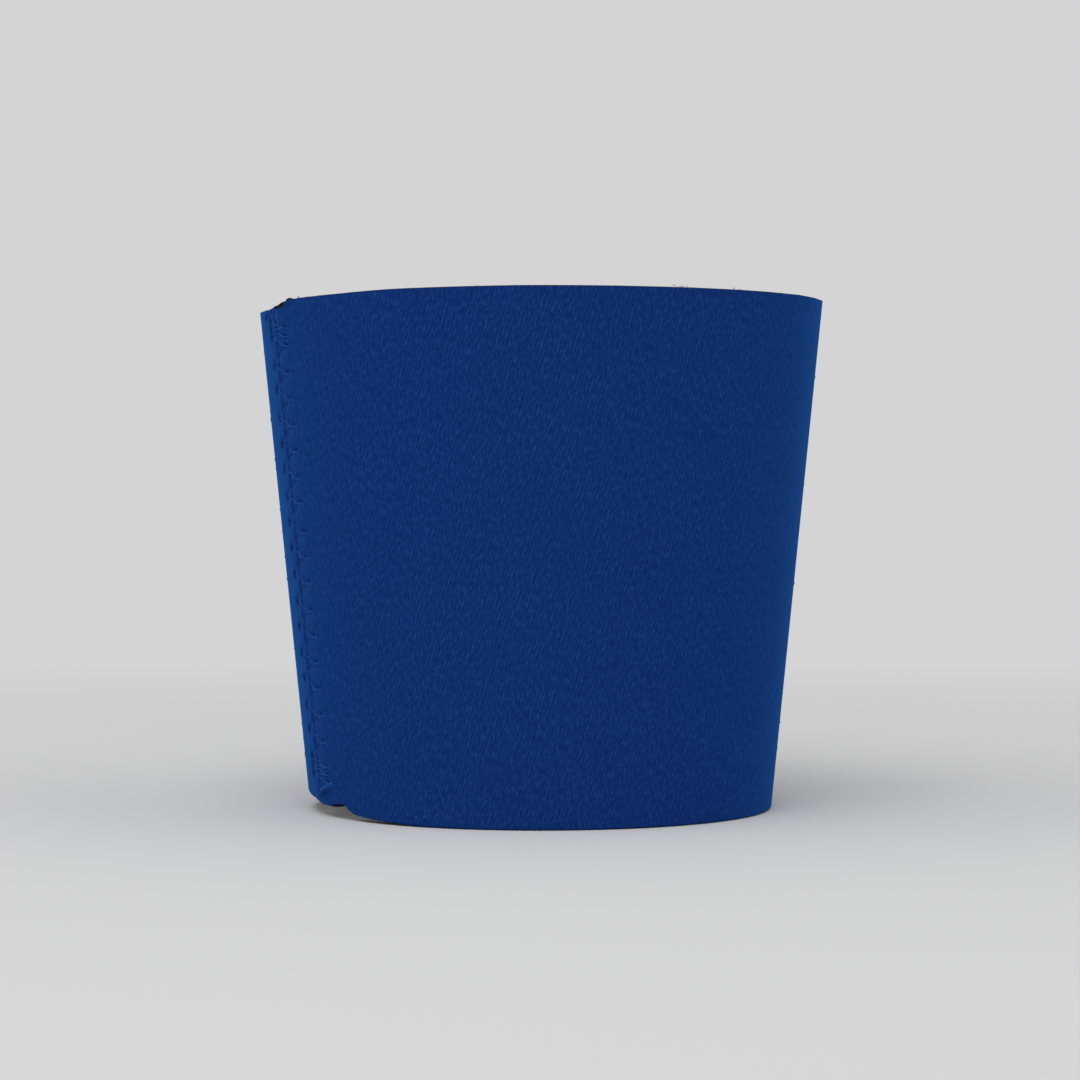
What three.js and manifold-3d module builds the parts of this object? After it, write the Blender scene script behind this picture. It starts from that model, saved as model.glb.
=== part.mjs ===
// Insulating sleeve for a takeaway coffee cup.
// One strip of foam sheet with knitted cloth bonded to both sides is bent into a cone.
// Its two short ends are butted and sewn together with a zigzag lockstitch.
// Millimetres, +Z up. The origin is the centre of the lower edge, on the surface the
// sleeve stands on. The front is -Y, and the seam lies towards -X.
//
// A place on the wall is given by three numbers:
//   along   arc length from the butt line, positive towards the front
//   depth   how far inside the outer face, square to the wall
//   z       height

import * as THREE from 'three';
import { mergeVertices } from 'three/addons/utils/BufferGeometryUtils.js';
import Module from 'manifold-3d';

// Wall
const topDiameter = 89.1;
const bottomDiameter = 73.1;
const height = 80;
const wall = 3;
const seamAngle = 67; // degrees from the front towards -X

// Cut edges: the cloth faces stop this far short of the cut, and the foam crowns between them
const edgeRounding = 0.45;
const edgeCrown = 0.1;

// Zigzag seam
const frontReach = 3.5; // butt line to the front row of needle holes
const backReach = 3; // butt line to the back row
const stitchPitch = 4.05;
const holeRise = 1.2; // a back hole stands this much above its front hole
const tackPitch = 1.3; // the closer stitches that lock each end
const tackStitches = 2;
const bottomToStitch = 3.6; // lower cut edge to the nearest needle hole
const topToStitch = 2;

// Needle holes, each with two strands of sewing thread to pass
const threadDiameter = 0.3;
const threadRoom = 0.35; // all round the two strands

// How the stitches press the foam in
const needleGroove = 0.65; // under a leg of needle thread
const bobbinGroove = 0.6;
const holeSink = 0.35; // the extra depth at a needle hole
const pillowHeight = 0.25; // how far the foam between two legs puffs out
const pillowRun = 0.9; // distance over which it rises from a groove
const holeDimple = 0.15; // what is left of the dip where it meets the plain wall
const dimpleReach = 1.5; // from a row of holes to there
const buttGap = 0.3;
const lipRounding = 0.45; // the ends' corners along the butt line

// How far the seam draws each cut edge from its level: [along, amount]
const bottomDrawn = [[26, 0], [14, 0.5], [11, 0.8], [8, 2.1], [3.5, 1.4], [0.6, 1.35], [-6.2, 1.9], [-13, 1.5], [-23, 0.8], [-36, 0]];
const topDrawn = [[40, 0], [18, 0.5], [7.5, 0.75], [2.7, 1], [-0.6, 1.75], [-8.6, 1.95], [-18, 1.7], [-30, 1], [-48, 0]];
// The lower outer corner is rolled inwards behind the seam: [along, radius]
const bottomRolled = [[5, edgeRounding], [-1, 1.2], [-6, 1.9], [-14, 1.9], [-23, edgeRounding]];

// Facets
const plainStep = 4.5; // degrees between two sections of the plain wall
const plainFrom = 20; // degrees from the butt line to the first of them
const holeSides = 6;

// Sizes that follow
const slope = Math.atan((topDiameter - bottomDiameter) / 2 / height);
const holeDiameter = threadDiameter + 2 * threadRoom;
const grooveHalf = holeDiameter / 3;

const outerRadius = (z) => bottomDiameter / 2 + z * Math.tan(slope);
const clamp = (x) => THREE.MathUtils.clamp(x, 0, 1);

// Reads a list of [along, value] pairs, eased between one pair and the next.
function eased(pairs, along) {
  const next = pairs.findIndex(([at]) => at <= along);
  if (next === 0) return pairs[0][1];
  if (next < 0) return pairs[pairs.length - 1][1];
  const [from, start] = pairs[next - 1];
  const [to, end] = pairs[next];
  const share = THREE.MathUtils.smoothstep(from - along, 0, from - to);
  return start + (end - start) * share;
}

const bottomEdge = (along) => eased(bottomDrawn, along);
const topEdge = (along) => height - eased(topDrawn, along);
const angleAt = (along, z) => THREE.MathUtils.degToRad(seamAngle) - along / outerRadius(z);

// The point at an angle from the front, at a depth square to the wall.
function onWall(angle, depth, z) {
  const radius = outerRadius(z) - depth / Math.cos(slope);
  return new THREE.Vector3(-radius * Math.sin(angle), -radius * Math.cos(angle), z);
}

// A frame on the outer face: X along the wall, Y square into it, Z up its slope.
function wallFrame(along, z) {
  const angle = angleAt(along, z);
  const ahead = new THREE.Vector3(Math.cos(angle), -Math.sin(angle), 0);
  const inward = new THREE.Vector3(Math.sin(angle), Math.cos(angle), 0);
  inward.multiplyScalar(Math.cos(slope)).setZ(Math.sin(slope));
  const upward = new THREE.Vector3().crossVectors(ahead, inward);
  return new THREE.Matrix4().makeBasis(ahead, inward, upward).setPosition(onWall(angle, 0, z));
}

// Heights of the front needle holes: a few close stitches, even ones, and a few close ones.
function frontHoles() {
  const first = bottomEdge(frontReach) + bottomToStitch;
  const last = topEdge(-backReach) - topToStitch - holeRise;
  const locked = tackStitches * tackPitch;
  const even = last - first - 2 * locked;
  const count = Math.max(1, Math.round(even / stitchPitch));
  const heights = [];
  for (let k = 0; k < tackStitches; k += 1) heights.push(first + k * tackPitch);
  for (let k = 0; k <= count; k += 1) heights.push(first + locked + (k * even) / count);
  for (let k = 1; k <= tackStitches; k += 1) heights.push(last - locked + k * tackPitch);
  return heights;
}

const holes = frontHoles();

// The needle holes in sewing order: front, back, front, back, up the seam.
const needlePoints = holes.flatMap((z) => [[frontReach, z], [-backReach, z + holeRise]]);

// Where the legs of the zigzag cross a section of the wall, from the bottom up.
function legHeights(along) {
  const crossings = [];
  for (let k = 1; k < needlePoints.length; k += 1) {
    const [fromAlong, fromZ] = needlePoints[k - 1];
    const [toAlong, toZ] = needlePoints[k];
    const share = (along - fromAlong) / (toAlong - fromAlong);
    crossings.push(fromZ + (toZ - fromZ) * share);
  }
  return crossings.filter((z, k) => k === 0 || z - crossings[k - 1] > threadDiameter / 2);
}

// Beside the stitched band the wall still dips a little at each row of holes.
function dimpledRows(along) {
  const rise = along < 0 ? holeRise : 0;
  return holes.flatMap((z, k) => [
    ...(k > 0 ? [[0, (z + holes[k - 1]) / 2 + rise]] : []),
    [holeDimple, z + rise],
  ]);
}

// One face of a stitched section: [sink, z] rows, with grooves at the legs and pillows between.
function stitchedRows(along, groove, lip) {
  const atHoles = along === frontReach || along === -backReach;
  const sink = groove + (atHoles ? holeSink : 0);
  const legs = legHeights(along);
  const rows = [];
  legs.forEach((z, k) => {
    if (k > 0) {
      const half = (z - legs[k - 1]) / 2;
      const risen = clamp((half - grooveHalf) / pillowRun);
      rows.push([sink - (sink + pillowHeight) * risen + lip, z - half]);
    }
    rows.push([sink + lip, z]);
  });
  return rows;
}

// The closed outline of the wall's section: up the outer face, over, down the inner face, under.
// Each point is { depth, z }.
function section(along, kind, lip = 0) {
  const low = bottomEdge(along);
  const high = topEdge(along);
  const roll = eased(bottomRolled, along);
  const plain = (corner) => [[0, low + 2 * corner], [0, high - 4 * edgeRounding]];
  const outerRows = {
    plain: () => plain(roll),
    dimpled: () => dimpledRows(along),
    stitched: () => stitchedRows(along, needleGroove, lip),
  }[kind]();
  const innerRows = {
    plain: () => plain(2 * edgeRounding),
    dimpled: () => dimpledRows(along),
    stitched: () => stitchedRows(along, bobbinGroove, lip),
  }[kind]();
  const rise = kind === 'plain' ? 0 : wall * Math.sin(slope);
  const outer = [
    { depth: lip, z: low + roll },
    ...outerRows.map(([sink, z]) => ({ depth: sink, z })),
    { depth: lip, z: high - edgeRounding },
  ];
  const inner = [
    { depth: wall - lip, z: low + edgeRounding },
    ...innerRows.map(([sink, z]) => ({ depth: wall - sink, z: z + rise })),
    { depth: wall - lip, z: high - edgeRounding },
  ].reverse();
  const over = [
    outer[outer.length - 1],
    { depth: edgeRounding + lip, z: high - edgeCrown },
    { depth: wall / 2, z: high },
    { depth: wall - edgeRounding - lip, z: high - edgeCrown },
    inner[0],
  ];
  const under = [
    inner[inner.length - 1],
    { depth: wall - edgeRounding - lip, z: low },
    { depth: roll + lip, z: low },
    { depth: 0.3 * roll + lip, z: low + 0.3 * roll },
    outer[0],
  ];
  return { along, faces: [outer, over, inner, under] };
}

// Sections from the front end of the strip, right round, to its back end.
function sections() {
  const end = buttGap / 2;
  const between = 0.55; // of the way from the butt line to the holes
  const flanks = [2.1, 5.1, 8.1]; // from the front holes to the plain sections beside the seam
  const stitchedSide = (side, reach) => [
    section(side * end, 'stitched', lipRounding),
    section(side * (end + lipRounding), 'stitched'),
    section(side * between * reach, 'stitched'),
    section(side * reach, 'stitched'),
    section(side * (reach + dimpleReach), 'dimpled'),
    ...flanks.map((beyond) => section(side * (frontReach + beyond), 'plain')),
  ];
  const meanRadius = outerRadius(height / 2);
  const first = Math.ceil((seamAngle + plainFrom) / plainStep);
  const last = Math.floor((seamAngle + 360 - plainFrom) / plainStep);
  const round = [];
  for (let k = last; k >= first; k -= 1) {
    const angle = THREE.MathUtils.degToRad(k * plainStep);
    const fromSeam = THREE.MathUtils.degToRad(seamAngle + 360) - angle;
    const nearest = fromSeam > Math.PI ? fromSeam - 2 * Math.PI : fromSeam;
    round.push({ ...section(nearest * meanRadius, 'plain'), angle });
  }
  return [...stitchedSide(1, frontReach), ...round, ...stitchedSide(-1, backReach).reverse()];
}

// The strip: neighbouring sections are joined face by face, and the two ends are capped.
function stripGeometry() {
  const positions = [];
  const index = [];
  const rings = sections().map(({ along, angle, faces }) => {
    const known = new Map();
    return faces.map((face) => face.map((point) => {
      if (!known.has(point)) {
        known.set(point, positions.length / 3);
        positions.push(...onWall(angle ?? angleAt(along, point.z), point.depth, point.z));
      }
      return { id: known.get(point), ...point };
    }));
  });

  // Joins two rows of points, always stepping on the side that lags behind.
  const join = (left, right, placeOf) => {
    let i = 0;
    let j = 0;
    while (i < left.length - 1 || j < right.length - 1) {
      const stepRight = i === left.length - 1
        || (j < right.length - 1 && placeOf(right, j + 1) <= placeOf(left, i + 1));
      if (stepRight) {
        index.push(left[i].id, right[j].id, right[j + 1].id);
        j += 1;
      } else {
        index.push(left[i].id, right[j].id, left[i + 1].id);
        i += 1;
      }
    }
  };
  const upwards = (row, k) => row[k].z;
  const downwards = (row, k) => -row[k].z;
  const inStep = (row, k) => k;
  for (let k = 1; k < rings.length; k += 1) {
    [upwards, inStep, downwards, inStep].forEach((placeOf, face) => {
      join(rings[k - 1][face], rings[k][face], placeOf);
    });
  }

  const cap = (ring, turn) => {
    const outline = ring.flatMap((face) => face.slice(0, -1));
    const flat = outline.map(({ depth, z }) => new THREE.Vector2(depth, z));
    THREE.ShapeUtils.triangulateShape(flat, []).forEach((triangle) => {
      const facing = THREE.ShapeUtils.area(triangle.map((corner) => flat[corner]));
      const [a, b, c] = triangle.map((corner) => outline[corner].id);
      if (facing * turn > 0) index.push(a, b, c);
      else index.push(a, c, b);
    });
  };
  cap(rings[0], -1);
  cap(rings[rings.length - 1], 1);

  const geometry = new THREE.BufferGeometry();
  geometry.setAttribute('position', new THREE.Float32BufferAttribute(positions, 3));
  geometry.setIndex(index);
  return geometry;
}

// A round bar square to the wall at one needle hole, from one depth to another.
function barAt([along, z], diameter, from, to, sides) {
  const bar = new THREE.CylinderGeometry(diameter / 2, diameter / 2, to - from, sides);
  bar.translate(0, (from + to) / 2, 0);
  return bar.applyMatrix4(wallFrame(along, z));
}

const wasm = await Module();
wasm.setup();

function solidOf(geometry) {
  const bare = geometry.clone();
  bare.deleteAttribute('normal');
  bare.deleteAttribute('uv');
  const merged = mergeVertices(bare, 1e-4);
  return new wasm.Manifold(new wasm.Mesh({
    numProp: 3,
    vertProperties: merged.attributes.position.array,
    triVerts: Uint32Array.from(merged.index.array),
  }));
}

function geometryOf(solid) {
  const { vertProperties, triVerts } = solid.getMesh();
  const geometry = new THREE.BufferGeometry();
  geometry.setAttribute('position', new THREE.BufferAttribute(vertProperties, 3));
  geometry.setIndex(new THREE.BufferAttribute(triVerts, 1));
  geometry.computeVertexNormals();
  return geometry;
}

// The strip with its needle holes punched right through.
function wrapGeometry() {
  const punched = needlePoints.reduce((rest, point) => {
    const punch = barAt(point, holeDiameter, -wall, 2 * wall, holeSides);
    return rest.subtract(solidOf(punch));
  }, solidOf(stripGeometry()));
  return geometryOf(punched);
}

const knit = new THREE.MeshStandardMaterial({ color: 0x122e6a, roughness: 0.95, metalness: 0 });

const wrap = new THREE.Mesh(wrapGeometry(), knit);
wrap.name = 'sleeve_wrap';

const sleeve = new THREE.Group();
sleeve.add(wrap);

export default sleeve;
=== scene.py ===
"""The finish of an insulating sleeve for a takeaway cup.

The sleeve is a strip of black foam rubber with knitted cloth bonded to both faces, bent into a
cone and closed by a zigzag seam. A place on its wall is given by its arc length from the butt
line (positive towards the front), its depth inside the outer face and its height.
"""

import math

import bpy
import numpy as np
from bpy.props import FloatProperty, FloatVectorProperty, IntProperty, PointerProperty
from bpy.types import Operator, Panel, PropertyGroup
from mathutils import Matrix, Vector


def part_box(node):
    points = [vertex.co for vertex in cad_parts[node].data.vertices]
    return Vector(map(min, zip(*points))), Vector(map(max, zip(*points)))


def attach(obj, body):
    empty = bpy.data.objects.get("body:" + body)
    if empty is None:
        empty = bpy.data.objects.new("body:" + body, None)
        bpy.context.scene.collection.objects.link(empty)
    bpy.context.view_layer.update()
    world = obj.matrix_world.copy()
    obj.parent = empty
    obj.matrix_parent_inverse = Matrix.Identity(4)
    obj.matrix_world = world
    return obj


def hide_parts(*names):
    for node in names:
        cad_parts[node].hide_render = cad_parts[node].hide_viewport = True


bl_info = {
    "name": "Cup Sleeve Finish",
    "version": (1, 0, 0),
    "blender": (4, 5, 0),
    "location": "View3D > Sidebar > Sleeve",
    "description": "Builds the cloth, foam edges, thread and stage of a sewn cup sleeve",
    "category": "Object",
}

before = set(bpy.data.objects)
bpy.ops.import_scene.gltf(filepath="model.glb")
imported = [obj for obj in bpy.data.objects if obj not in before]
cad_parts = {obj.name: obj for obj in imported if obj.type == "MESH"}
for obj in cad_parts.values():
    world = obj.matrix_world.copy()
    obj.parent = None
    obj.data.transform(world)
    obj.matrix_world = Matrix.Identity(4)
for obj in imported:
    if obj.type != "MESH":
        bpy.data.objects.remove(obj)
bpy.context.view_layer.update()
LOW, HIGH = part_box("sleeve_wrap")

MM = 0.001

# How far the seam draws each cut edge from its level, as (arc length, amount) in millimetres.
BOTTOM_DRAWN = (
    (-36, 0), (-23, 0.8), (-13, 1.5), (-6.2, 1.9), (-3, 1.7), (-1.3, 1.5), (0.6, 1.5),
    (3.6, 1.55), (5, 1.8), (6.6, 2.05), (8, 2.2), (8.8, 1.5), (10.2, 0.9), (12.4, 0.62),
    (16.6, 0.35), (26, 0),
)
TOP_DRAWN = (
    (-48, 0), (-30, 1), (-18, 1.7), (-8.6, 1.95), (-3.2, 1.9), (-0.7, 1.75), (0.3, 1.3),
    (2.7, 0.98), (6, 0.8), (7.5, 0.74), (13, 0.62), (18, 0.52), (27, 0.2), (45, 0),
)
# The lower outer corner is rolled in behind the seam.
BOTTOM_ROLLED = ((-23, 0.45), (-14, 1.7), (-6, 1.5), (-1, 1), (5, 0.45))
# How much foam shows below the crown of the upper edge, and above the lower one.
TOP_FOAM = ((-1, 0.14), (0.1, 0.2), (0.7, 1.1), (4.8, 1.1), (5.4, 0.3), (7, 0.14))
BOTTOM_FOAM = ((-2, 0.12), (2, 0.15), (4, 0.35), (6.5, 0.3), (8, 0.14))
# Creases behind the seam near the upper edge: two ends as (arc length, height) in millimetres.
CREASES = (((-5.7, 76.8), (-1.7, 77.4)), ((-2.6, 76.9), (-3.1, 75.6)))
CREASE_SINK, CREASE_REACH = 0.3 * MM, 0.35 * MM
# The front end's upper corner tips outwards, and a nub of foam stands up beside it.
TIP_OUT, TIP_HEIGHT = 0.45 * MM, 4 * MM
NUB_RISE, NUB_AT, NUB_REACH = 0.35 * MM, 5.2 * MM, 0.6 * MM
# The blade leaves the outer cloth's upper edge uneven, and the lining short of both edges.
FRAY = 0.035 * MM
LINING_SHORT = 0.22 * MM
# Rows of points up the outer cloth, down the lining, round the lower corner, across a cut edge.
ROWS_OUT, ROWS_IN, ROWS_ROLL, ROWS_EDGE = 350, 110, 8, 7

# Loose fibres on the upper edge: (degrees from the front towards the seam, how many).
FIBRE_SPOTS = ((-27, 5), (-31, 3), (-41, 4), (55, 3), (12, 2), (128, 3), (-120, 3), (172, 2))
FIBRE_RADIUS = 0.035 * MM
# Short loops that have worked out of the outer cloth, and how far they keep from the seam.
WORN_LOOPS = 420
LOOP_RADIUS = 0.04 * MM
LOOPS_OFF_SEAM = 9 * MM
# The thread is laid from two plies.
TWISTS_PER_MM = 0.9

# The camera stands half a metre in front, and its lens gives this many pixels per radian.
CAMERA_AT = (-0.14 * MM, -501.7 * MM, 51.0 * MM)
CAMERA_DOWN_DEGREES = 0.995
FOCAL_PIXELS, PICTURE_PIXELS = 3159.6, 1080
SENSOR_MM = 36


def linear(code):
    """A colour written as sRGB hex, as the linear RGBA that a shader takes."""
    parts = [int(code.lstrip("#")[k:k + 2], 16) / 255 for k in (0, 2, 4)]
    return [p / 12.92 if p <= 0.04045 else ((p + 0.055) / 1.055) ** 2.4 for p in parts] + [1.0]


def length(name, description, default):
    return FloatProperty(name=name, description=description, default=default, unit="LENGTH")


def colour(name, description, code):
    return FloatVectorProperty(
        name=name, description=description, default=linear(code), size=4, subtype="COLOR",
    )


class SleeveWall(PropertyGroup):
    """The cone that the strip is bent to."""

    bottom_diameter: length("Bottom diameter", "Over the outer face at the lower edge", 73.1 * MM)
    top_diameter: length("Top diameter", "Over the outer face at the upper edge", 89.1 * MM)
    height: length("Height", "Lower edge to upper edge", HIGH.z - LOW.z)
    thickness: length("Thickness", "Foam with its two cloth faces", 3 * MM)
    seam_angle: FloatProperty(
        name="Seam angle", description="From the front towards -X",
        default=math.radians(67), subtype="ANGLE",
    )


class SleeveSeam(PropertyGroup):
    """The zigzag that joins the strip's two ends."""

    front_reach: length("Front reach", "Butt line to the front needle holes", 3.5 * MM)
    back_reach: length("Back reach", "Butt line to the back needle holes", 3 * MM)
    pitch: length("Pitch", "Between two stitches up the seam", 4.05 * MM)
    hole_rise: length("Hole rise", "A back hole above its front hole", 1.2 * MM)
    tack_pitch: length("Tack pitch", "Between the closer stitches at each end", 1.3 * MM)
    tack_stitches: IntProperty(name="Tack stitches", description="Closer ones at each end", default=2)
    bottom_to_stitch: length("Bottom to stitch", "Lower edge to the nearest hole", 3.6 * MM)
    top_to_stitch: length("Top to stitch", "Upper edge to the nearest hole", 2 * MM)
    needle_groove: length("Outer groove", "Depth pressed in by the needle thread", 0.2 * MM)
    bobbin_groove: length("Inner groove", "Depth pressed in by the bobbin thread", 0.36 * MM)
    pillow: length("Pillow", "How far the foam puffs out between two legs", 0.1 * MM)
    gap: length("Butt gap", "Between the two butted ends", 0.006 * MM)
    thread: length("Thread", "Diameter of the twisted sewing thread", 0.28 * MM)


class SleeveColours(PropertyGroup):
    """Colours of the cloth, the foam and the thread."""

    knit: colour("Outer cloth", "Royal blue jersey", "#133171")
    # The loop glint colour is painted highlight on the loops, with a little of the yarn's own lighter
    # tone; the colour between the loops is painted shade in the gaps.
    glint: colour("Loop glints", "The loops of the outer cloth that catch the light", "#204181")
    shade: colour("Between loops", "The gaps between the loops of the outer cloth", "#0c2864")
    lining: colour("Lining", "Black jersey", "#17181b")
    # The lining's glint colour is painted highlight on its loops, and its gap colour is painted shade
    # between them, with a little of the yarn's own tone.
    lining_glint: colour("Lining glints", "The loops of the lining", "#24262b")
    lining_shade: colour("Lining gaps", "The gaps between the loops of the lining", "#0d0e10")
    foam: colour("Foam", "Black foam rubber at the cut edges", "#0c0d10")
    thread: colour("Needle thread", "Blue polyester", "#2353a1")
    # The worn loops are coloured lighter than the cloth they come from: painted highlight on loops
    # that stand out of the face.
    loops: colour("Worn loops", "Blue polyester", "#2a4f92")
    bobbin: colour("Bobbin thread", "Black polyester", "#1c1d22")
    floor: colour("Floor", "Pale studio grey", "#d4d4d4")


def smooth(x):
    x = np.clip(x, 0, 1)
    return x * x * (3 - 2 * x)


def eased(pairs, along):
    """Reads (arc length, value) pairs in millimetres at places in metres, rounded a little."""
    at, value = np.array(pairs, float).T * MM
    spread = np.array([-0.3, 0, 0.3]) * MM
    return np.interp(np.asarray(along)[..., None] + spread, at, value).mean(-1)


class Wall:
    """Places on the cone."""

    def __init__(self, sizes):
        self.low_radius = sizes.bottom_diameter / 2
        self.height = sizes.height
        self.thickness = sizes.thickness
        self.seam = sizes.seam_angle
        self.taper = (sizes.top_diameter - sizes.bottom_diameter) / 2 / sizes.height
        self.slope = math.atan(self.taper)
        self.mean_radius = self.low_radius + sizes.height / 2 * self.taper

    def radius(self, z):
        return self.low_radius + z * self.taper

    def turn(self, along, z):
        """The angle round from the butt line: true arc length near it, even sectors far away."""
        near = 1 - smooth((np.abs(along) - 12 * MM) / (28 * MM))
        return along / (self.mean_radius + (self.radius(z) - self.mean_radius) * near)

    def place(self, along, depth, z):
        angle = self.seam - self.turn(along, z)
        radius = self.radius(z) - depth / math.cos(self.slope)
        return np.stack([-radius * np.sin(angle), -radius * np.cos(angle), z + 0 * angle], -1)

    def flat(self, along, z):
        """The same place on the flat cut, an arc-shaped strip, with its middle at the origin."""
        turn = self.turn(along, z)
        turn = np.where(turn > 0, turn, turn + 2 * math.pi) - math.pi
        to_apex = self.radius(z) / math.sin(self.slope)
        middle = self.mean_radius / math.sin(self.slope)
        spread = turn * math.sin(self.slope)
        return to_apex * np.sin(spread), to_apex * np.cos(spread) - middle

    def flat_size(self):
        """Width, height and area of the flat cut of the outer cloth."""
        long_side = self.radius(self.height) / math.sin(self.slope)
        short_side = self.radius(0) / math.sin(self.slope)
        half = math.pi * math.sin(self.slope)
        area = (long_side ** 2 - short_side ** 2) * half
        return (2 * long_side * math.sin(half), long_side - short_side * math.cos(half)), area


class Seam:
    """The needle holes, the legs of thread between them and the foam that they press in."""

    HOLE_REACH = 0.4 * MM
    HOLE_SINK = 0.5 * MM
    GROOVE_REACH = 0.36 * MM
    PILLOW_REACH = 0.8 * MM
    LIP_REACH = 0.24 * MM
    LIP_SINK = 0.22 * MM
    # The back end stands a little higher than the front end where they meet.
    BACK_RISE, BACK_AT, BACK_REACH = 0.1 * MM, -0.9 * MM, 0.7 * MM
    # Beyond the holes the foam is flat again.
    FLAT_BEYOND = 2.2 * MM

    def __init__(self, wall, sizes):
        self.sizes = sizes
        low = float(eased(BOTTOM_DRAWN, sizes.front_reach)) + sizes.bottom_to_stitch
        drop = float(eased(TOP_DRAWN, -sizes.back_reach))
        high = wall.height - drop - sizes.top_to_stitch - sizes.hole_rise
        locked = sizes.tack_stitches * sizes.tack_pitch
        count = max(1, round((high - low - 2 * locked) / sizes.pitch))
        tacks = np.arange(sizes.tack_stitches) * sizes.tack_pitch
        even = np.linspace(low + locked, high - locked, count + 1)
        heights = np.concatenate([low + tacks, even, high - tacks[::-1]])
        front = [(sizes.front_reach, z) for z in heights]
        back = [(-sizes.back_reach, z + sizes.hole_rise) for z in heights]
        holes = np.array([hole for pair in zip(front, back) for hole in pair])
        # No two stitches of a hand-fed seam are quite alike.
        drift = np.random.default_rng(7).normal(0, 0.14 * MM, holes.shape)
        self.spread = np.repeat(np.minimum(1, np.gradient(heights) / sizes.pitch), 2)
        self.holes = holes + drift * self.spread[:, None]

    def legs(self):
        """Both ends of each leg; and how far apart the stitches are there, 1 for a full pitch."""
        return list(zip(self.holes[:-1], self.holes[1:], self.spread))

    def relief(self, along, z, groove):
        """How far the foam stands out (or, below zero, in) at places near the seam."""
        sizes = self.sizes
        along, z = np.broadcast_arrays(along, z)
        inside = smooth((along + sizes.back_reach + self.FLAT_BEYOND) / self.FLAT_BEYOND)
        inside = inside * smooth((sizes.front_reach + self.FLAT_BEYOND - along) / self.FLAT_BEYOND)
        to_leg = np.full(along.shape, 1.0)
        sink = np.zeros(along.shape)
        for (a0, z0), (a1, z1), _ in self.legs():
            run = np.array([a1 - a0, z1 - z0])
            share = np.clip(((along - a0) * run[0] + (z - z0) * run[1]) / (run @ run), 0, 1)
            away = np.hypot(along - a0 - share * run[0], z - z0 - share * run[1])
            to_leg = np.minimum(to_leg, away)
            pressed = groove * (0.62 + 0.38 * np.abs(2 * share - 1) ** 1.5)
            sink = np.maximum(sink, pressed * np.exp(-(away / self.GROOVE_REACH) ** 2))
        puff = sizes.pillow * inside * (1 - np.exp(-(to_leg / self.PILLOW_REACH) ** 2))
        hole = np.zeros(along.shape)
        for a, h in self.holes:
            away = np.hypot(along - a, z - h) / self.HOLE_REACH
            hole = np.maximum(hole, self.HOLE_SINK * np.exp(-away ** 2))
        lip = self.LIP_SINK * np.exp(-(np.abs(along) / self.LIP_REACH) ** 1.5)
        proud = self.BACK_RISE * np.exp(-((along - self.BACK_AT) / self.BACK_REACH) ** 2)
        return puff - sink - hole - lip + proud


def columns(wall, gap):
    """Arc lengths of the sections, close together at the seam, from its front end to its back."""
    half = math.pi * wall.mean_radius
    along, step = [gap / 2], 0.17 * MM
    while along[-1] < half:
        if along[-1] > 6.5 * MM:
            step = min(step * 1.16, 3.6 * MM)
        along.append(along[-1] + step)
    along = np.array(along[:-1])
    along = gap / 2 + (along - gap / 2) * (half - gap / 2) / (along[-1] - gap / 2)
    return np.concatenate([along, -along[-2::-1]])


def rolled_corner(low, roll, foam):
    """The outer cloth's turn round the lower corner, from the bare foam to the upright face."""
    start = np.arccos(np.clip(1 - foam / roll, 0, 0.9))[:, None]
    bend = start + (math.pi / 2 - start) * np.linspace(0, 1, ROWS_ROLL)
    depth = roll[:, None] * (1 - np.sin(bend))
    return depth, (low + roll)[:, None] - roll[:, None] * np.cos(bend)


def creased(along, z):
    """How deep the creases are at places on the outer face."""
    sink = 0
    for (a0, z0), (a1, z1) in CREASES:
        share = np.clip((along / MM - a0) / (a1 - a0), 0, 1)
        away = np.hypot(along / MM - a0 - (a1 - a0) * share, z / MM - z0 - (z1 - z0) * share)
        sink = sink + CREASE_SINK * np.exp(-(away * MM / CREASE_REACH) ** 2)
    return sink


def tipped(along, z, high):
    """How far the front end's upper corner tips outwards, which bares the foam behind the cloth."""
    round_it = smooth((along - 0.3 * MM) / (2 * MM)) * smooth((8 * MM - along) / (4 * MM))
    return TIP_OUT * round_it * smooth((z - high + TIP_HEIGHT) / TIP_HEIGHT)


def clear_of_edges(z, low, high, low_reach, high_reach):
    """1 away from both cut edges and 0 at them."""
    return smooth((z - low) / low_reach) * smooth((high - z) / high_reach)


def cut_edge(from_depth, to_depth, from_z, to_z, level):
    """The foam that crowns between the two cloths, across one cut edge."""
    turn = np.linspace(0, 1, ROWS_EDGE + 2)[1:-1]
    crown = 1 - np.abs(2 * turn - 1) ** 3
    base = from_z + (to_z - from_z) * turn
    return turn, from_depth + (to_depth - from_depth) * turn, base + (level - base) * crown


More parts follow.
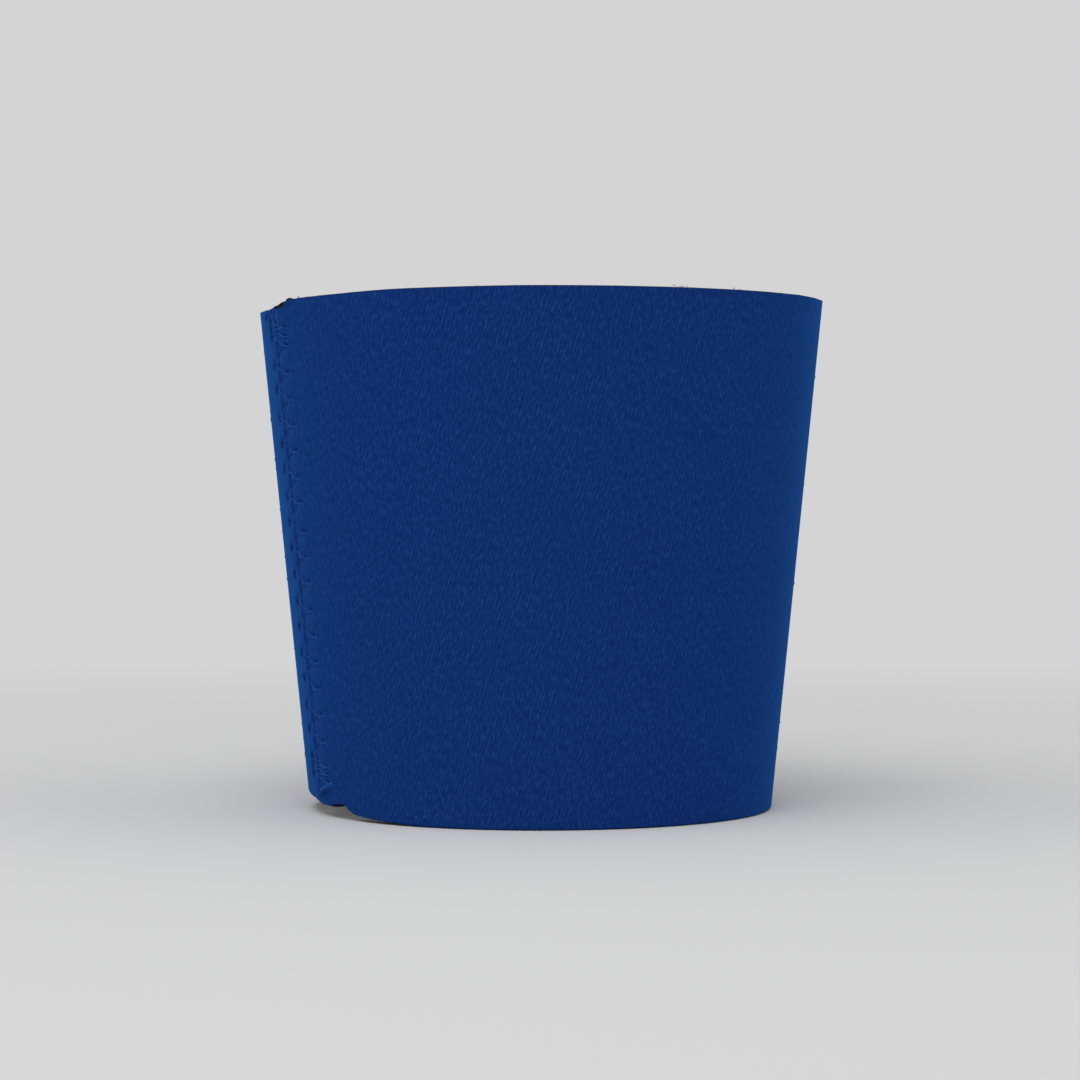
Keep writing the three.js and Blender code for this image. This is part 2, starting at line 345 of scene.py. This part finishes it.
def strip_sections(wall, seam):
    """Depth and height of every point of every section, and the rows where each face begins."""
    along = columns(wall, seam.sizes.gap)
    bottom, top = eased(BOTTOM_DRAWN, along), wall.height - eased(TOP_DRAWN, along)
    roll = eased(BOTTOM_ROLLED, along)
    corner_depth, corner_z = rolled_corner(bottom, roll, eased(BOTTOM_FOAM, along))
    fray = np.random.default_rng(3).normal(0, FRAY, len(along))
    cloth_top = (top - eased(TOP_FOAM, along) + fray)[:, None]
    foot = (bottom + roll)[:, None]
    a, low, high = along[:, None], bottom[:, None], top[:, None]

    # The outer cloth runs up, and the lining down the inner face.
    face_z = foot + (cloth_top - foot) * np.linspace(0, 1, ROWS_OUT + 1)[1:]
    relief = seam.relief(a, face_z, seam.sizes.needle_groove)
    relief = relief * clear_of_edges(face_z, low, high, 2.2 * MM, 1.6 * MM)
    face_depth = creased(a, face_z) - relief - tipped(a, face_z, high)
    rise = wall.thickness * math.sin(wall.slope)
    inner_top, inner_low = high - LINING_SHORT, low + LINING_SHORT
    inner_z = inner_top + (inner_low - inner_top) * np.linspace(0, 1, ROWS_IN)
    relief = seam.relief(a, inner_z - rise, seam.sizes.bobbin_groove)
    relief = relief * clear_of_edges(inner_z, inner_low, inner_top, 2 * MM, 2 * MM)
    inner_depth = wall.thickness + relief

    turn, over_depth, over_z = cut_edge(
        face_depth[:, -1:], inner_depth[:, :1], face_z[:, -1:], inner_z[:, :1], high,
    )
    nub = NUB_RISE * np.exp(-((a - NUB_AT) / NUB_REACH) ** 2)
    over_z = over_z + nub * np.exp(-((turn - 0.2) / 0.25) ** 2)
    _, under_depth, under_z = cut_edge(
        inner_depth[:, -1:], corner_depth[:, :1], inner_z[:, -1:], corner_z[:, :1], low,
    )

    depth = np.concatenate([corner_depth, face_depth, over_depth, inner_depth, under_depth], 1)
    z = np.concatenate([corner_z, face_z, over_z, inner_z, under_z], 1)
    outer_end = ROWS_ROLL + ROWS_OUT - 1
    inner_start = outer_end + ROWS_EDGE + 1
    return along, depth, np.maximum(z, 0), (outer_end, inner_start, inner_start + ROWS_IN - 1)


def node(tree, kind, inputs=None, **settings):
    """Adds a node, sets it up and links or fills its inputs."""
    made = tree.nodes.new(kind)
    for name, value in settings.items():
        setattr(made, name, value)
    for key, value in (inputs or {}).items():
        if isinstance(value, bpy.types.NodeSocket):
            tree.links.new(value, made.inputs[key])
        else:
            made.inputs[key].default_value = value
    return made


def new_material(name):
    material = bpy.data.materials.new(name)
    material.use_nodes = True
    material.node_tree.nodes.clear()
    return material, material.node_tree


def seen_directly(tree):
    """1 where the camera sees a surface itself, or in a mirror or through glass."""
    rays = node(tree, "ShaderNodeLightPath")
    mirrored = node(tree, "ShaderNodeMath", {
        0: rays.outputs["Is Camera Ray"], 1: rays.outputs["Is Glossy Ray"],
    }, operation="MAXIMUM")
    both = node(tree, "ShaderNodeMath", {
        0: mirrored.outputs[0], 1: rays.outputs["Is Transmission Ray"],
    }, operation="MAXIMUM")
    return both.outputs[0]


def jersey(name, shade, knit, glint, flat_span, sheen, tint):
    """Polyester jersey, knitted fine: columns of stitches (wales) 0.58 mm apart run up the cut,
    so they lean where the cut is bent round. Loose loops show as short flecks of painted highlight,
    with painted shade in the gaps between them, and the brushed fibres give a soft sheen at
    glancing angles."""
    wale_mm, loop_mm, loop_run_mm, worn_mm = 0.58, 0.38, 1.05, 12
    material, tree = new_material(name)
    where = node(tree, "ShaderNodeUVMap", uv_map="flat_cut")
    on_cloth = node(tree, "ShaderNodeMapping", {
        "Vector": where.outputs["UV"],
        "Rotation": (0, 0, math.radians(6)),
        "Scale": (flat_span / MM,) * 3,
    })
    wales = node(tree, "ShaderNodeTexWave", {
        "Vector": on_cloth.outputs[0],
        "Scale": math.pi / 10 / wale_mm,
        "Distortion": 5.0,
        "Detail": 2.0,
        "Detail Scale": 0.9,
        "Detail Roughness": 0.6,
    }, wave_type="BANDS", bands_direction="X")
    stretched = node(tree, "ShaderNodeMapping", {
        "Vector": on_cloth.outputs[0],
        "Scale": (1 / loop_mm, 1 / loop_run_mm, 1),
    })
    loops = node(tree, "ShaderNodeTexNoise", {
        "Vector": stretched.outputs[0], "Scale": 1.0, "Detail": 2.0, "Roughness": 0.6,
    })
    worn = node(tree, "ShaderNodeTexNoise", {
        "Vector": on_cloth.outputs[0], "Scale": 1 / worn_mm, "Detail": 2.0,
    })
    relief = node(tree, "ShaderNodeMix", {
        "Factor": 0.88, "A": wales.outputs["Fac"], "B": loops.outputs["Fac"],
    })
    shown = node(tree, "ShaderNodeMix", {
        "Factor": 0.06, "A": relief.outputs[0], "B": worn.outputs["Fac"],
    })
    # The colour runs from painted shade between the loops, through the cloth's own colour, to painted
    # highlight on the loops.
    ramp = node(tree, "ShaderNodeValToRGB", {"Fac": shown.outputs[0]})
    stops = ramp.color_ramp.elements
    stops[0].position, stops[0].color = 0.27, shade
    stops[1].position, stops[1].color = 0.73, glint
    stops.new(0.5).color = knit
    bump = node(tree, "ShaderNodeBump", {
        "Height": relief.outputs[0], "Strength": 0.35, "Distance": 0.08 * MM,
    })
    shader = node(tree, "ShaderNodeBsdfPrincipled", {
        "Base Color": ramp.outputs["Color"],
        "Roughness": 0.95,
        "Specular IOR Level": 0.0,
        "Sheen Weight": sheen,
        "Sheen Roughness": 0.4,
        "Sheen Tint": linear(tint),
        "Normal": bump.outputs["Normal"],
    })
    node(tree, "ShaderNodeOutputMaterial", {"Surface": shader.outputs[0]})
    return material


def toned(tree, pattern, base, dark, light):
    """The base colour, darkened and lightened along a pattern."""
    ramp = node(tree, "ShaderNodeValToRGB", {"Fac": pattern})
    for stop, share in zip(ramp.color_ramp.elements, (dark, light)):
        stop.color = [c * share for c in base[:3]] + [1]
    return ramp.outputs["Color"]


def foam_rubber(base):
    """Black foam rubber where a blade has cut it: matt, with cut cells about 0.15 mm wide."""
    cell_mm = 0.15
    material, tree = new_material("cut_foam_rubber")
    where = node(tree, "ShaderNodeTexCoord")
    cells = node(tree, "ShaderNodeTexVoronoi", {
        "Vector": where.outputs["Object"], "Scale": 1 / (cell_mm * MM),
    })
    bump = node(tree, "ShaderNodeBump", {
        "Height": cells.outputs["Distance"], "Strength": 0.6, "Distance": 0.1 * MM,
    })
    shader = node(tree, "ShaderNodeBsdfPrincipled", {
        "Base Color": toned(tree, cells.outputs["Distance"], base, 0.6, 2.2),
        "Roughness": 0.95,
        "Specular IOR Level": 0.06,
        "Normal": bump.outputs["Normal"],
    })
    node(tree, "ShaderNodeOutputMaterial", {"Surface": shader.outputs[0]})
    return material


def twisted_polyester(name, base):
    """Spun polyester sewing thread: two plies with a slight gloss and fibres along the twist."""
    fibre_mm = 0.06
    material, tree = new_material(name)
    where = node(tree, "ShaderNodeTexCoord")
    fibres = node(tree, "ShaderNodeTexNoise", {
        "Vector": where.outputs["Object"], "Scale": 1 / (fibre_mm * MM), "Detail": 2.0,
    })
    bump = node(tree, "ShaderNodeBump", {
        "Height": fibres.outputs["Fac"], "Strength": 0.4, "Distance": 0.03 * MM,
    })
    shader = node(tree, "ShaderNodeBsdfPrincipled", {
        "Base Color": toned(tree, fibres.outputs["Fac"], base, 0.7, 1.25),
        "Roughness": 0.6,
        "Specular IOR Level": 0.03,
        "Normal": bump.outputs["Normal"],
    })
    node(tree, "ShaderNodeOutputMaterial", {"Surface": shader.outputs[0]})
    return material


def deselect():
    bpy.ops.object.select_all(action="DESELECT")


def edit_all(piece):
    """Enters edit mode on one piece, with everything in it selected."""
    deselect()
    piece.select_set(True)
    bpy.context.view_layer.objects.active = piece
    bpy.ops.object.mode_set(mode="EDIT")
    bpy.ops.mesh.select_all(action="SELECT")


def shop():
    """The scene's settings and the shapes that follow from them."""
    scene = bpy.context.scene
    wall = Wall(scene.sleeve_wall)
    return wall, Seam(wall, scene.sleeve_seam), scene.sleeve_colours


class SLEEVE_OT_wrap(Operator):
    """Bend and sew the strip of cloth-faced foam"""

    bl_idname = "sleeve.wrap"
    bl_label = "Foam wrap"

    def execute(self, context):
        wall, seam, colours = shop()
        along, depth, z, (outer_end, inner_start, inner_end) = strip_sections(wall, seam)
        count, rows = depth.shape
        deselect()
        bpy.ops.mesh.primitive_grid_add(x_subdivisions=count - 1, y_subdivisions=rows, size=1)
        wrap = context.object
        wrap.name = wrap.data.name = "foam_wrap"
        mesh = wrap.data
        flat = np.empty(len(mesh.vertices) * 3)
        mesh.vertices.foreach_get("co", flat)
        flat = flat.reshape(-1, 3)
        column = np.rint((flat[:, 0] + 0.5) * (count - 1)).astype(int)
        row = np.rint((flat[:, 1] + 0.5) * rows).astype(int)
        around = row % rows
        bent = wall.place(along[column], depth[column, around], z[column, around])
        mesh.vertices.foreach_set("co", bent.ravel())

        # Each face keeps its place on the flat cut, and its cloth or foam.
        (width, tall), area = wall.flat_size()
        u, v = wall.flat(along[column], z[column, around])
        on_cut = np.stack([u / width + 0.5, v / width + 0.5], -1)
        corners = np.empty(len(mesh.loops), int)
        mesh.loops.foreach_get("vertex_index", corners)
        cut_map = mesh.uv_layers[0] if mesh.uv_layers else mesh.uv_layers.new()
        cut_map.name = "flat_cut"
        cut_map.data.foreach_set("uv", on_cut[corners].ravel())
        first = np.empty(len(mesh.polygons), int)
        mesh.polygons.foreach_get("loop_start", first)
        lowest = row[corners][first[:, None] + np.arange(4)].min(1)
        made_of = np.full(len(first), 1)
        made_of[lowest < outer_end] = 0
        made_of[(lowest >= inner_start) & (lowest < inner_end)] = 2
        for material in (
            jersey(
                "royal_blue_jersey", colours.shade, colours.knit, colours.glint,
                flat_span=width, sheen=0.31, tint="#3c9cff",
            ),
            foam_rubber(colours.foam),
            jersey(
                "black_jersey_lining", colours.lining_shade, colours.lining, colours.lining_glint,
                flat_span=width, sheen=0.05, tint="#9aa0aa",
            ),
        ):
            mesh.materials.append(material)
        mesh.polygons.foreach_set("material_index", made_of)
        mesh.update()

        edit_all(wrap)
        bpy.ops.mesh.remove_doubles(threshold=0.001 * MM)
        bpy.ops.mesh.select_mode(type="EDGE")
        bpy.ops.mesh.select_all(action="DESELECT")
        bpy.ops.mesh.select_non_manifold(extend=False)
        wrap.active_material_index = 1
        bpy.ops.mesh.edge_face_add()
        bpy.ops.object.material_slot_assign()
        bpy.ops.mesh.select_all(action="SELECT")
        bpy.ops.mesh.normals_make_consistent(inside=False)
        bpy.ops.object.mode_set(mode="OBJECT")
        bpy.ops.object.shade_smooth_by_angle(angle=math.radians(50))

        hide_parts("sleeve_wrap")
        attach(wrap, "root")
        return {"FINISHED"}


def leg_points(wall, seam, leg, groove, side_of):
    """The middle line of one leg: out of a hole, along the groove and down the next hole. It is
    half buried in the cloth. Where it leaves a front hole it lies bare on the hole's lower lip."""
    start, end, spread = leg
    share = np.concatenate([[0, 0, 0.02], np.linspace(0.06, 0.94, 21), [0.98, 1, 1]])
    along = start[0] + (end[0] - start[0]) * share
    z = start[1] + (end[1] - start[1]) * share
    bare = 0 * share
    if start[0] > 0:
        bare = smooth((share - 0.01) / 0.06) * smooth((0.36 - share) / 0.12)
        z = z + (start[1] - 0.3 * MM * spread - z) * smooth((0.55 - share) / 0.35) * spread
    cloth = np.clip(-seam.relief(along, z, groove), -0.1 * MM, groove)
    depth = cloth + 0.03 * MM
    depth[:3] = wall.thickness / 2, groove + 0.3 * MM, groove
    depth[-3:] = depth[2], depth[1], depth[0]
    depth = depth + (0.08 * MM - depth) * bare
    return wall.place(along, side_of(depth), z)


def twisted(points, radius, phase, steps):
    """A ply that winds round the line through the points."""
    run = np.concatenate([[0], np.cumsum(np.linalg.norm(np.diff(points, axis=0), axis=1))])
    at = np.linspace(0, run[-1], steps)
    line = np.stack([np.interp(at, run, points[:, k]) for k in range(3)], -1)
    blur = np.array([0.25, 0.5, 0.25])
    for _ in range(2):
        line[1:-1] = sum(blur[k] * line[k:len(line) - 2 + k] for k in range(3))
    ahead = np.gradient(line, axis=0)
    ahead /= np.linalg.norm(ahead, axis=1)[:, None]
    up = np.array([0.0, 0.0, 1.0])
    side = np.cross(ahead, up)
    side /= np.linalg.norm(side, axis=1)[:, None]
    over = np.cross(side, ahead)
    turn = 2 * math.pi * TWISTS_PER_MM * at[:, None] / MM + phase
    return line + radius * (np.cos(turn) * side + np.sin(turn) * over)


def thread_piece(name, runs, radius, material):
    """Makes one piece of thread from its plies, each a closed tube."""
    deselect()
    bpy.ops.curve.primitive_nurbs_path_add()
    piece = bpy.context.object
    piece.name = piece.data.name = name
    curve = piece.data
    curve.splines.clear()
    curve.dimensions = "3D"
    curve.bevel_depth = radius
    curve.bevel_resolution = 1
    curve.use_fill_caps = True
    for run in runs:
        spline = curve.splines.new("POLY")
        spline.points.add(len(run) - 1)
        spline.points.foreach_set("co", np.c_[run, np.ones(len(run))].ravel())
    bpy.ops.object.convert(target="MESH")
    edit_all(piece)
    bpy.ops.mesh.remove_doubles(threshold=0.0005 * MM)
    bpy.ops.mesh.normals_make_consistent(inside=False)
    bpy.ops.object.mode_set(mode="OBJECT")
    bpy.ops.object.shade_smooth_by_angle(angle=math.radians(50))
    piece.data.materials.clear()
    piece.data.materials.append(material)
    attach(piece, "root")
    return piece


def last_stitch(wall, seam, ply):
    """The thick last stitch: the thread's tail, laid back and forth from the lowest front hole
    down to the butt line, standing on the cloth."""
    strands, run, drop, past_hole = 7, 5.2 * MM, 2.2 * MM, 1.6 * MM
    first_along, first_z = seam.holes[0]
    share = np.linspace(0, 1, 14)
    swell = np.sin(share * math.pi)
    off_ends = np.minimum(1, 5 * np.minimum(share, 1 - share) + 0.1)
    runs = []
    for k in range(strands):
        across = (k - strands // 2) / (strands // 2)
        bulge = (0.65 * swell * (1 - across ** 2) + 0.25) * MM
        along = first_along + past_hole - run * share + 0.3 * MM * across * swell
        z = first_z + 0.1 * MM - drop * share ** 1.1 + (0.32 + 0.16 * swell) * MM * across
        line = wall.place(along, 0.15 * MM - bulge * off_ends, z)
        for phase in (0, math.pi):
            runs.append(twisted(line, ply, phase + k, 60))
    return runs


class SLEEVE_OT_thread(Operator):
    """Sew the seam: needle thread on the outer face and bobbin thread on the lining"""

    bl_idname = "sleeve.thread"
    bl_label = "Sewing thread"

    def execute(self, context):
        wall, seam, colours = shop()
        ply = seam.sizes.thread / 4
        faces = (
            ("needle_thread", colours.thread, seam.sizes.needle_groove, lambda d: d),
            ("bobbin_thread", colours.bobbin, seam.sizes.bobbin_groove, lambda d: wall.thickness - d),
        )
        for name, dye, groove, side_of in faces:
            runs = []
            for leg in seam.legs():
                line = leg_points(wall, seam, leg, groove, side_of)
                for phase in (0, math.pi):
                    runs.append(twisted(line, ply, phase, 46))
            if name == "needle_thread":
                runs += last_stitch(wall, seam, ply)
            thread_piece(name, runs, ply * 1.02, twisted_polyester(name + "_polyester", dye))
        return {"FINISHED"}


class SLEEVE_OT_fibres(Operator):
    """Leave the loose fibres that the blade pulled out of the upper edge"""

    bl_idname = "sleeve.fibres"
    bl_label = "Loose fibres"

    def execute(self, context):
        wall, seam, colours = shop()
        chance = np.random.default_rng(11)
        half = math.pi * wall.mean_radius
        runs = []
        for degrees, how_many in FIBRE_SPOTS:
            middle = (wall.seam - math.radians(degrees)) * wall.mean_radius
            for _ in range(how_many):
                along = middle + chance.normal(0, 0.7 * MM)
                along -= 2 * half if along >= half else 0
                top = wall.height - float(eased(TOP_DRAWN, along))
                reach = chance.uniform(0.35, 0.9) * MM
                lean = chance.uniform(-1, 1)
                share = np.linspace(0, 1, 7)
                depth = 0.35 * MM - 0.25 * MM * share * chance.uniform(0, 1.6)
                z = top - 0.25 * MM + reach * np.sin(share * math.pi * 0.6) * 0.55
                runs.append(wall.place(along + reach * lean * share ** 1.4, depth, z))
        fibre = twisted_polyester("loose_polyester_fibre", colours.foam)
        thread_piece("edge_fibres", runs, FIBRE_RADIUS, fibre)
        return {"FINISHED"}


class SLEEVE_OT_lint(Operator):
    """Scatter the short loops that have worked out of the outer cloth"""

    bl_idname = "sleeve.lint"
    bl_label = "Worn loops"

    def execute(self, context):
        wall, seam, colours = shop()
        chance = np.random.default_rng(5)
        runs = []
        half = math.pi * wall.mean_radius
        share = np.linspace(-1, 1, 7)
        for _ in range(WORN_LOOPS):
            along = chance.uniform(-half, half)
            along += math.copysign(LOOPS_OFF_SEAM, along) if abs(along) < LOOPS_OFF_SEAM else 0
            z = chance.uniform(4 * MM, wall.height - 4 * MM)
            reach, bow = chance.uniform(0.12, 0.4) * MM, chance.normal(0, 0.12) * MM
            lean = math.radians(chance.normal(80, 28))
            across = reach * share * math.cos(lean) - bow * (1 - share ** 2) * math.sin(lean)
            up = reach * share * math.sin(lean) + bow * (1 - share ** 2) * math.cos(lean)
            depth = 0.06 * MM - 0.12 * MM * (1 - share ** 2)
            runs.append(wall.place(along + across, depth, z + up))
        loop = twisted_polyester("worn_polyester_loop", colours.loops)
        thread_piece("worn_loops", runs, LOOP_RADIUS, loop)
        return {"FINISHED"}


class SLEEVE_OT_stage(Operator):
    """Lay the floor, hang the lamps and stand the camera"""

    bl_idname = "sleeve.stage"
    bl_label = "Stage"

    def execute(self, context):
        colours = context.scene.sleeve_colours
        self.floor(colours.floor)
        self.world(colours.floor)
        lamps = (
            ("key_lamp", (-0.15, -0.7, 1.0), (0, 0, 0.04), 0.8, 5.5),
            ("left_lamp", (-0.9, -0.2, 0.5), (0, 0, 0.04), 0.8, 1.6),
            ("right_lamp", (0.9, -0.2, 0.5), (0, 0, 0.04), 0.8, 1.1),
        )
        for name, spot, target, size, power in lamps:
            self.lamp(name, spot, target, size, power)
        self.camera()
        return {"FINISHED"}

    def floor(self, pale):
        """Matt board near the sleeve, which takes its shadow, and the plain backdrop further off."""
        deselect()
        bpy.ops.mesh.primitive_plane_add(size=8)
        floor = bpy.context.object
        floor.name = "studio_floor"
        material, tree = new_material("matt_studio_board")
        where = node(tree, "ShaderNodeTexCoord")
        far = node(tree, "ShaderNodeVectorMath", {0: where.outputs["Object"]}, operation="LENGTH")
        away = node(tree, "ShaderNodeMapRange", {
            "Value": far.outputs["Value"], "From Min": 0.1, "From Max": 0.45,
        }, interpolation_type="SMOOTHSTEP")
        board = node(tree, "ShaderNodeBsdfDiffuse", {"Color": pale})
        backdrop = node(tree, "ShaderNodeEmission", {"Color": pale, "Strength": 1.0})
        seen = node(tree, "ShaderNodeMath", {
            0: away.outputs[0], 1: seen_directly(tree),
        }, operation="MULTIPLY")
        mixed = node(tree, "ShaderNodeMixShader", {
            0: seen.outputs[0], 1: board.outputs[0], 2: backdrop.outputs[0],
        })
        node(tree, "ShaderNodeOutputMaterial", {"Surface": mixed.outputs[0]})
        floor.data.materials.append(material)

    def world(self, pale):
        """Soft white light from all round, with the plain backdrop where the camera looks."""
        world = bpy.data.worlds.new("studio")
        world.use_nodes = True
        tree = world.node_tree
        tree.nodes.clear()
        light = node(tree, "ShaderNodeBackground", {"Color": (1, 1, 1, 1), "Strength": 0.62})
        backdrop = node(tree, "ShaderNodeBackground", {"Color": pale, "Strength": 1.0})
        mixed = node(tree, "ShaderNodeMixShader", {
            0: seen_directly(tree), 1: light.outputs[0], 2: backdrop.outputs[0],
        })
        node(tree, "ShaderNodeOutputWorld", {"Surface": mixed.outputs[0]})
        bpy.context.scene.world = world

    def lamp(self, name, spot, target, size, power):
        bpy.ops.object.light_add(type="AREA", location=spot)
        lamp = bpy.context.object
        lamp.name = name
        lamp.data.shape = "SQUARE"
        lamp.data.size = size
        lamp.data.energy = power
        lamp.rotation_euler = (Vector(target) - Vector(spot)).to_track_quat("-Z", "Y").to_euler()

    def camera(self):
        """The viewing angle of a long lens half a metre in front, a little above the middle."""
        bpy.ops.object.camera_add(
            location=CAMERA_AT,
            rotation=(math.radians(90 - CAMERA_DOWN_DEGREES), 0, 0),
        )
        camera = bpy.context.object
        camera.data.sensor_width = SENSOR_MM
        camera.data.lens = SENSOR_MM * FOCAL_PIXELS / PICTURE_PIXELS
        bpy.context.scene.camera = camera


class SLEEVE_PT_panel(Panel):
    """Sizes, colours and pieces of the sleeve"""

    bl_idname = "SLEEVE_PT_panel"
    bl_label = "Cup Sleeve"
    bl_space_type = "VIEW_3D"
    bl_region_type = "UI"
    bl_category = "Sleeve"

    def draw(self, context):
        scene = context.scene
        for group in (scene.sleeve_wall, scene.sleeve_seam, scene.sleeve_colours):
            box = self.layout.box()
            for name in group.bl_rna.properties.keys():
                if name not in {"rna_type", "name"}:
                    box.prop(group, name)
        for operator in OPERATORS:
            self.layout.operator(operator.bl_idname)


OPERATORS = (
    SLEEVE_OT_wrap, SLEEVE_OT_thread, SLEEVE_OT_fibres, SLEEVE_OT_lint, SLEEVE_OT_stage,
)
CLASSES = (SleeveWall, SleeveSeam, SleeveColours, *OPERATORS, SLEEVE_PT_panel)


def register():
    for item in CLASSES:
        bpy.utils.register_class(item)
    bpy.types.Scene.sleeve_wall = PointerProperty(type=SleeveWall)
    bpy.types.Scene.sleeve_seam = PointerProperty(type=SleeveSeam)
    bpy.types.Scene.sleeve_colours = PointerProperty(type=SleeveColours)


def unregister():
    del bpy.types.Scene.sleeve_colours
    del bpy.types.Scene.sleeve_seam
    del bpy.types.Scene.sleeve_wall
    for item in reversed(CLASSES):
        bpy.utils.unregister_class(item)


def main():
    register()
    bpy.context.scene.view_settings.view_transform = "Standard"
    bpy.ops.sleeve.wrap()
    bpy.ops.sleeve.thread()
    bpy.ops.sleeve.fibres()
    bpy.ops.sleeve.lint()
    bpy.ops.sleeve.stage()


if __name__ == "__main__":
    main()
